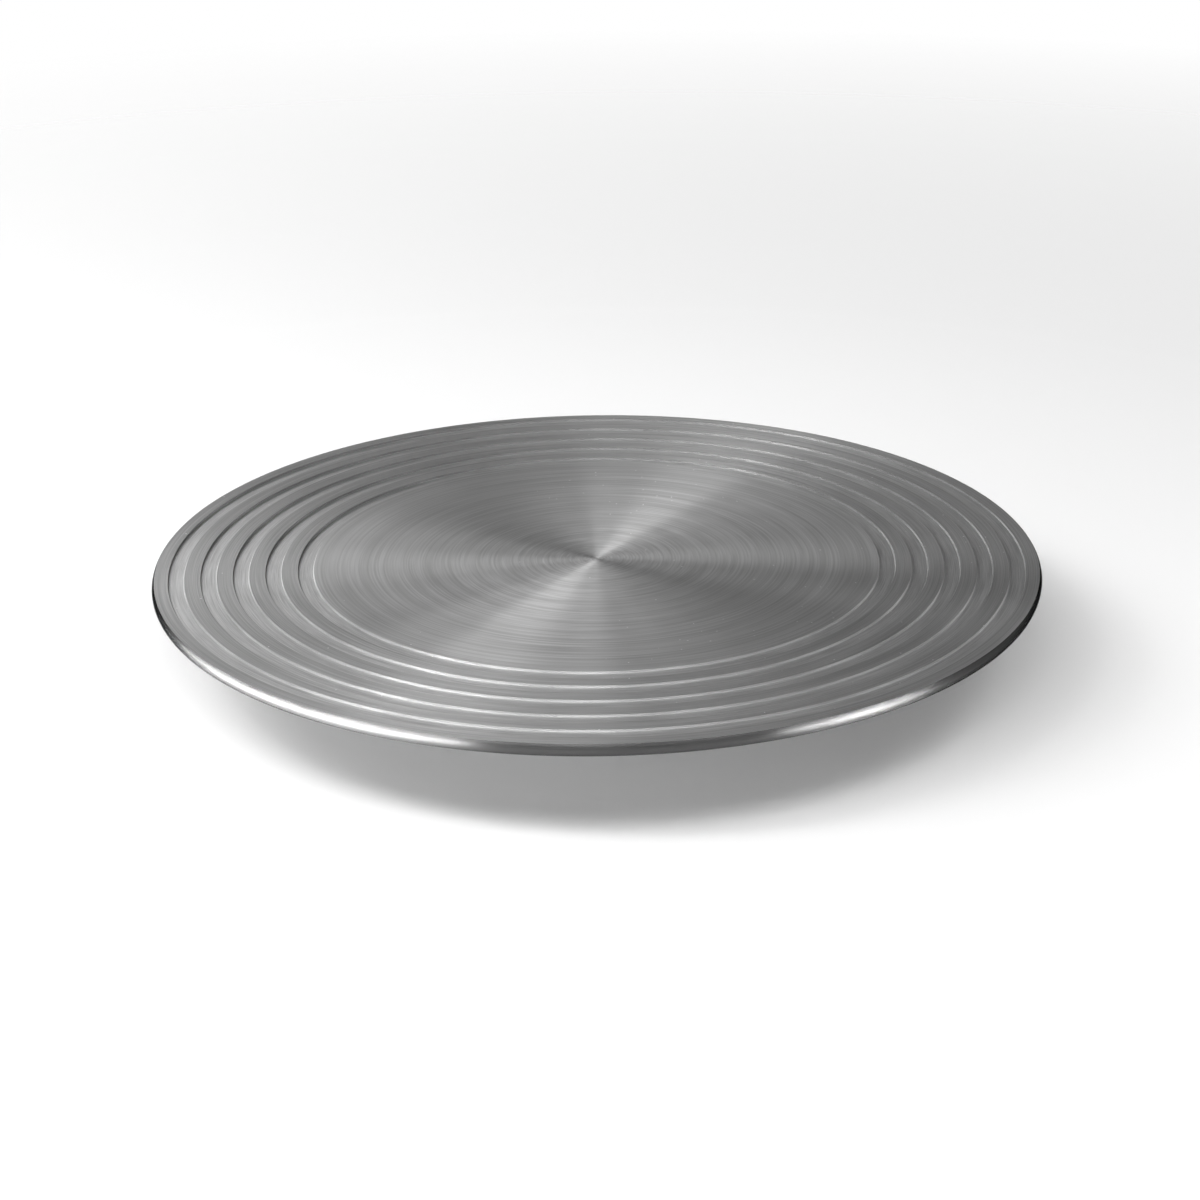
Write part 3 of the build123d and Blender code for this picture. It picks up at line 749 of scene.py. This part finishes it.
def pocketOutline(look, inset, turn):
    # one rib pocket's outline, moved inwards by inset with its round corners kept
    corner = look["pocketCorner"]
    side = look["ribHalf"] + corner
    step = 2 * pi / look["ribs"]
    half = []
    ends = []
    for radius, edge in ((look["pocketInner"], corner), (look["pocketOuter"], -corner)):
        centre = Vector((sqrt((radius + edge) ** 2 - side * side), side))
        ends.append((centre, atan2(centre.y, centre.x)))
    (innerCentre, innerAngle), (outerCentre, outerAngle) = ends
    arcs = [
        (Vector((0, 0)), look["pocketInner"] + inset, step / 2, innerAngle, look["arcSteps"]),
        (innerCentre, corner - inset, innerAngle + pi, 3 * pi / 2, look["cornerSteps"]),
        (outerCentre, corner - inset, 3 * pi / 2, 2 * pi + outerAngle, look["cornerSteps"]),
        (Vector((0, 0)), look["pocketOuter"] - inset, outerAngle, step / 2, look["arcSteps"]),
    ]
    for number, (centre, radius, first, last, steps) in enumerate(arcs):
        for k in range(0 if number in (0, 2) else 1, steps + 1):
            angle = first + (last - first) * k / steps
            half.append((centre.x + radius * cos(angle), centre.y + radius * sin(angle)))
    mirrored = [(hypot(x, y), step - atan2(y, x)) for x, y in half[-2:0:-1]]
    outline = [(hypot(x, y), atan2(y, x)) for x, y in half] + mirrored
    return [(r * cos(a + turn * step), r * sin(a + turn * step)) for r, a in outline]


def mouthRings(rounding, bottom, steps=4, margin=0.25):
    # (inset, height) of a hole's rounded mouth in the flat underside, from the flat inwards
    rings = [(-rounding - margin, bottom)]
    for k in range(steps + 1):
        angle = pi / 2 * k / steps
        rings.append((rounding * (sin(angle) - 1), bottom + rounding * (1 - cos(angle))))
    return rings


def sinkInto(body, outlines):
    # walls and ceiling of a hole from (points, height) rings, giving back its outermost ring
    rings = [ringOfVerts(body, points, height) for points, height in outlines]
    for lower, upper in zip(rings, rings[1:]):
        bridge(body, lower, upper)
    body.faces.new(rings[-1])
    return rings[0]


def insideLoop(x, y, loop):
    inside = False
    for (ax, ay), (bx, by) in zip(loop, loop[1:] + loop[:1]):
        if (ay > y) != (by > y) and x < (bx - ax) * (y - ay) / (by - ay) + ax:
            inside = not inside
    return inside


def fillFlat(body, loops, isHole):
    # joins flat loops of vertices with triangles, except where isHole says there is none
    verts = [vert for loop in loops for vert in loop]
    edges = []
    for loop in loops:
        start = len(edges)
        edges += [(start + k, start + (k + 1) % len(loop)) for k in range(len(loop))]
    points = [vert.co.xy / mm for vert in verts]
    allEdges = 0
    closest = 1e-5
    found = delaunay_2d_cdt(points, edges, [], allEdges, closest)
    for face in found[2]:
        corners = [verts[found[3][k][0]] for k in face]
        middle = sum((vert.co.xy for vert in corners), Vector((0, 0))) / (3 * mm)
        if not isHole(middle.x, middle.y):
            body.faces.new(corners)


def baseCastingPiece():
    low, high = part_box("base_casting")
    look = baseCasting
    bottom = low.z / mm
    body = bmesh.new()
    corners = castingProfile(look, high.x / mm, bottom, high.z / mm)
    rings = latheInto(body, roundedPath(corners, closed=False), ["enamel"], closed=False)
    loops = [rings[0], rings[-1]]
    pocket = mouthRings(look["mouthRounding"], bottom)
    ceiling = look["ceilingRounding"]
    for k in range(look["ceilingSteps"] + 1):
        angle = pi / 2 * k / look["ceilingSteps"]
        inset = look["draft"] + ceiling * (1 - cos(angle))
        pocket.append((inset, look["pocketTop"] - ceiling * (1 - sin(angle))))
    pocket.append((look["draft"] + ceiling + look["ceilingMargin"], look["pocketTop"]))
    seat = mouthRings(look["seatRounding"], bottom) + [(0, look["seatTop"])]
    step = 2 * pi / look["ribs"]
    for turn in range(look["ribs"]):
        loops.append(sinkInto(body, [(pocketOutline(look, inset, turn), z) for inset, z in pocket]))
        centre = (look["seatPitch"] * cos(turn * step), look["seatPitch"] * sin(turn * step))
        radii = [(look["seatRadius"] - inset, z) for inset, z in seat]
        circles = [(circlePoints(radius, look["seatSegments"], centre), z) for radius, z in radii]
        loops.append(sinkInto(body, circles))
    mouth = pocketOutline(look, pocket[0][0], 0)
    seatReach = look["seatRadius"] - seat[0][0]

    def isHole(x, y):
        # every sixth of the underside is alike, so one sixth answers for all
        radius = hypot(x, y)
        angle = atan2(y, x) % step
        folded = (radius * cos(angle), radius * sin(angle))
        nearSeat = min(angle, step - angle)
        toSeat = hypot(radius * cos(nearSeat) - look["seatPitch"], radius * sin(nearSeat))
        return radius < look["flatInner"] or toSeat < seatReach or insideLoop(*folded, mouth)

    fillFlat(body, loops, isHole)
    pieceFrom(body, "baseCast", [finishes["enamelled_iron"]], "base", "base_casting")


baseCastingPiece()
print("base casting made")

foot = {
    "topRadius": 8.0,
    "tipRadius": 7.2,
    "seatHeight": 2.5,  # where the taper starts, at the casting's underside
    "wellRadius": 3.2,
    "wellTop": 2.0,
    "holeRadius": 1.55,
    "tipRounding": 0.6,
    "grooves": [5.9, 4.4],  # radii of the grip grooves in the tread
    "grooveHalf": 0.3,
    "grooveDepth": 0.35,
    "grooveTaper": 0.6,  # width at the groove's floor against its mouth
    "segments": 128,
}


def footPiece(name):
    low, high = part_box(name)
    look = foot
    top = high.z / mm
    bottom = low.z / mm
    corners = [
        (look["holeRadius"], top, 0.1, "foot"),
        (look["topRadius"], top, 0.2, "foot"),
        (look["topRadius"], look["seatHeight"], 0.3, "foot"),
        (look["tipRadius"], bottom, look["tipRounding"], "foot"),
    ]
    for radius in look["grooves"]:
        half = look["grooveHalf"]
        deep = bottom + look["grooveDepth"]
        corners += [
            (radius + half, bottom, 0.1, "foot"),
            (radius + half * look["grooveTaper"], deep, 0.08, "foot"),
            (radius - half * look["grooveTaper"], deep, 0.08, "foot"),
            (radius - half, bottom, 0.1, "foot"),
        ]
    corners += [
        (look["wellRadius"], bottom, 0.3, "foot"),
        (look["wellRadius"], look["wellTop"], 0.1, "foot"),
        (look["holeRadius"], look["wellTop"], 0.1, "foot"),
    ]
    centre = ((low.x + high.x) / 2 / mm, (low.y + high.y) / 2 / mm)
    body = bmesh.new()
    path = roundedPath(corners, guard=0.02)
    latheInto(body, path, ["foot"], segments=look["segments"], centre=centre)
    pieceFrom(body, name + "Moulded", [finishes["foot_rubber"]], "base", name)


for name in sorted(frame["nodes"]):
    if name.startswith("foot_") and name != "foot_screws":
        footPiece(name)
print("feet made")

for entry in frame["record"]["subparts"]:
    node = frame["nodes"][entry["node"]]
    if entry["material_slot"] in finishes and not node.hide_render:
        for slot in node.material_slots:
            slot.link = "OBJECT"
            slot.material = finishes[entry["material_slot"]]
print("finishes given to the carried-over nodes")

studio = {
    "floorTone": 0.84,
    "floorHalf": 6.0,
    "floorFade": (0.4, 1.0),  # distances between which the floor gives way to the backdrop
    "world": [(0.0, 1.0), (0.02, 1.0), (0.18, 0.10), (1.0, 0.10)],  # brightness by sine of elevation
    "boxDistance": 1.6,
    "softboxes": [
        {"azimuth": 105, "elevation": 8, "size": 0.5, "power": 1.7},
        {"azimuth": 120, "elevation": 8, "size": 0.5, "power": 2.0},
        {"azimuth": 44, "elevation": 22, "size": 0.6, "power": 1.1},
        {"azimuth": 130, "elevation": 22, "size": 0.6, "power": 1.5},
        {"azimuth": 150, "elevation": 22, "size": 0.6, "power": 1.4},
        {"azimuth": 0, "elevation": 38, "size": 0.6, "power": 1.1},
        {"azimuth": 30, "elevation": 38, "size": 0.6, "power": 0.9},
        {"azimuth": 145, "elevation": 38, "size": 0.6, "power": 1.1},
        {"azimuth": 170, "elevation": 38, "size": 0.6, "power": 3.2},
        {"azimuth": 195, "elevation": 38, "size": 0.6, "power": 3.4},
        {"azimuth": 0, "elevation": 54, "size": 0.6, "power": 1.2},
        {"azimuth": 230, "elevation": 54, "size": 0.6, "power": 6.0},
        {"azimuth": 265, "elevation": 54, "size": 0.6, "power": 6.0},
        {"azimuth": 300, "elevation": 54, "size": 0.6, "power": 3.5},
        {"azimuth": 330, "elevation": 54, "size": 0.6, "power": 2.1},
        {"azimuth": 200, "elevation": 44, "size": 0.35, "power": 3.6},
        {"azimuth": 211, "elevation": 52, "size": 0.35, "power": 3.6},
    ],
    "stripDistance": 1.0,
    "stripSize": (0.22, 0.028),
    "stripHeight": 0.018,
    "strips": [  # low strip lights that reach the rim and the gap under the head
        {"azimuth": 150, "power": 1.2},
        {"azimuth": 162, "power": 5.0},
        {"azimuth": 174, "power": 7.5},
        {"azimuth": 186, "power": 8.0},
        {"azimuth": 198, "power": 8.5},
        {"azimuth": 210, "power": 10.0},
        {"azimuth": 222, "power": 9.5},
        {"azimuth": 234, "power": 7.0},
        {"azimuth": 318, "power": 4.0},
        {"azimuth": 330, "power": 4.0},
        {"azimuth": 342, "power": 2.4},
    ],
    "underLamp": {"depth": 1.0, "cone": 10, "power": 36},
}


def makeFloor(look):
    half = look["floorHalf"]
    mesh = bpy.data.meshes.new("studioFloor")
    corners = [(-half, -half, 0), (half, -half, 0), (half, half, 0), (-half, half, 0)]
    mesh.from_pydata(corners, [], [(0, 1, 2, 3)])
    floor = bpy.data.objects.new("studioFloor", mesh)
    scene.collection.objects.link(floor)
    tone = look["floorTone"]
    material, tree, shader = newMaterial("pale floor", {"Base Color": (tone, tone, tone), "Roughness": 0.9})
    # seen from below, the floor lets the underside show, and far out it fades into the backdrop
    facing = addNode(tree, "ShaderNodeNewGeometry")
    coords = addNode(tree, "ShaderNodeTexCoord")
    away = addNode(tree, "ShaderNodeVectorMath", operation="LENGTH")
    tree.links.new(coords.outputs["Object"], away.inputs[0])
    near, far = look["floorFade"]
    past = mathNode(tree, "SUBTRACT", away.outputs["Value"], near)
    faded = mathNode(tree, "DIVIDE", past, far - near)
    clear = addNode(tree, "ShaderNodeBsdfTransparent")
    oneWay = addNode(tree, "ShaderNodeMixShader")
    gone = mathNode(tree, "MAXIMUM", facing.outputs["Backfacing"], faded, clamp=True)
    tree.links.new(gone, oneWay.inputs[0])
    tree.links.new(shader.outputs[0], oneWay.inputs[1])
    tree.links.new(clear.outputs[0], oneWay.inputs[2])
    tree.links.new(oneWay.outputs[0], tree.nodes["Material Output"].inputs["Surface"])
    mesh.materials.append(material)


def placeLamp(data, location, facing, name):
    lamp = bpy.data.objects.new(name, data)
    lamp.location = location
    lamp.rotation_euler = facing.to_track_quat("Z", "Y").to_euler()
    lamp.visible_camera = False
    scene.collection.objects.link(lamp)
    return lamp


def makeLights(look, target):
    for k, box in enumerate(look["softboxes"]):
        data = bpy.data.lights.new("softbox%d" % k, "AREA")
        data.shape = "DISK"
        data.size = box["size"]
        data.energy = box["power"]
        azimuth = radians(box["azimuth"])
        elevation = radians(box["elevation"])
        away = Vector((cos(elevation) * cos(azimuth), cos(elevation) * sin(azimuth), sin(elevation)))
        placeLamp(data, target + away * look["boxDistance"], away, data.name)
    for k, strip in enumerate(look["strips"]):
        data = bpy.data.lights.new("strip%d" % k, "AREA")
        data.shape = "RECTANGLE"
        data.size, data.size_y = look["stripSize"]
        data.energy = strip["power"]
        azimuth = radians(strip["azimuth"])
        away = Vector((cos(azimuth), sin(azimuth), 0))
        place = away * look["stripDistance"] + Vector((0, 0, look["stripHeight"]))
        placeLamp(data, place, away, data.name)
    # one lamp beneath the floor, which the floor neither catches nor blocks, shines up through a narrow
    # cone at the underside of the base
    data = bpy.data.lights.new("underLamp", "SPOT")
    data.spot_size = radians(look["underLamp"]["cone"])
    data.spot_blend = 0.2
    data.energy = look["underLamp"]["power"]
    down = Vector((0, 0, -1))
    lamp = placeLamp(data, down * look["underLamp"]["depth"], down, data.name)
    lit = bpy.data.collections.new("litFromBelow")
    for piece in scene.objects:
        if piece.type == "MESH" and piece.name != "studioFloor":
            lit.objects.link(piece)
    lamp.light_linking.receiver_collection = lit
    lamp.light_linking.blocker_collection = lit


def makeWorld(look):
    world = bpy.data.worlds.new("studio")
    world.use_nodes = True
    tree = world.node_tree
    coords = addNode(tree, "ShaderNodeTexCoord")
    split = addNode(tree, "ShaderNodeSeparateXYZ")
    tree.links.new(coords.outputs["Generated"], split.inputs[0])
    glow = rampNode(tree, split.outputs[2], look["world"])
    tree.links.new(glow, tree.nodes["Background"].inputs["Color"])
    scene.world = world


camera = {
    "distance": 1.077,  # from the middle of the work face
    "elevation": 21.593,
    "pitchDown": 0.749,
    "yawRight": 0.050,
    "roll": -0.73,
    "lens": 95.18,
    "sensor": 36.0,
}


def makeCamera(look, target):
    data = bpy.data.cameras.new("studioCamera")
    data.lens = look["lens"]
    data.sensor_width = look["sensor"]
    lens = bpy.data.objects.new("studioCamera", data)
    elevation = radians(look["elevation"])
    away = Vector((0, -cos(elevation), sin(elevation)))
    lens.location = target + away * look["distance"]
    aim = Euler((-radians(look["pitchDown"]), -radians(look["yawRight"]), 0))
    roll = Euler((0, 0, radians(look["roll"])))
    facing = away.to_track_quat("Z", "Y") @ aim.to_quaternion() @ roll.to_quaternion()
    lens.rotation_euler = facing.to_euler()
    scene.collection.objects.link(lens)
    scene.camera = lens


faceMiddle = Vector((0, 0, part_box("wheel_head")[1].z))
makeFloor(studio)
makeLights(studio, faceMiddle)
makeWorld(studio)
makeCamera(camera, faceMiddle)
scene.view_settings.view_transform = "Standard"
print("studio made")
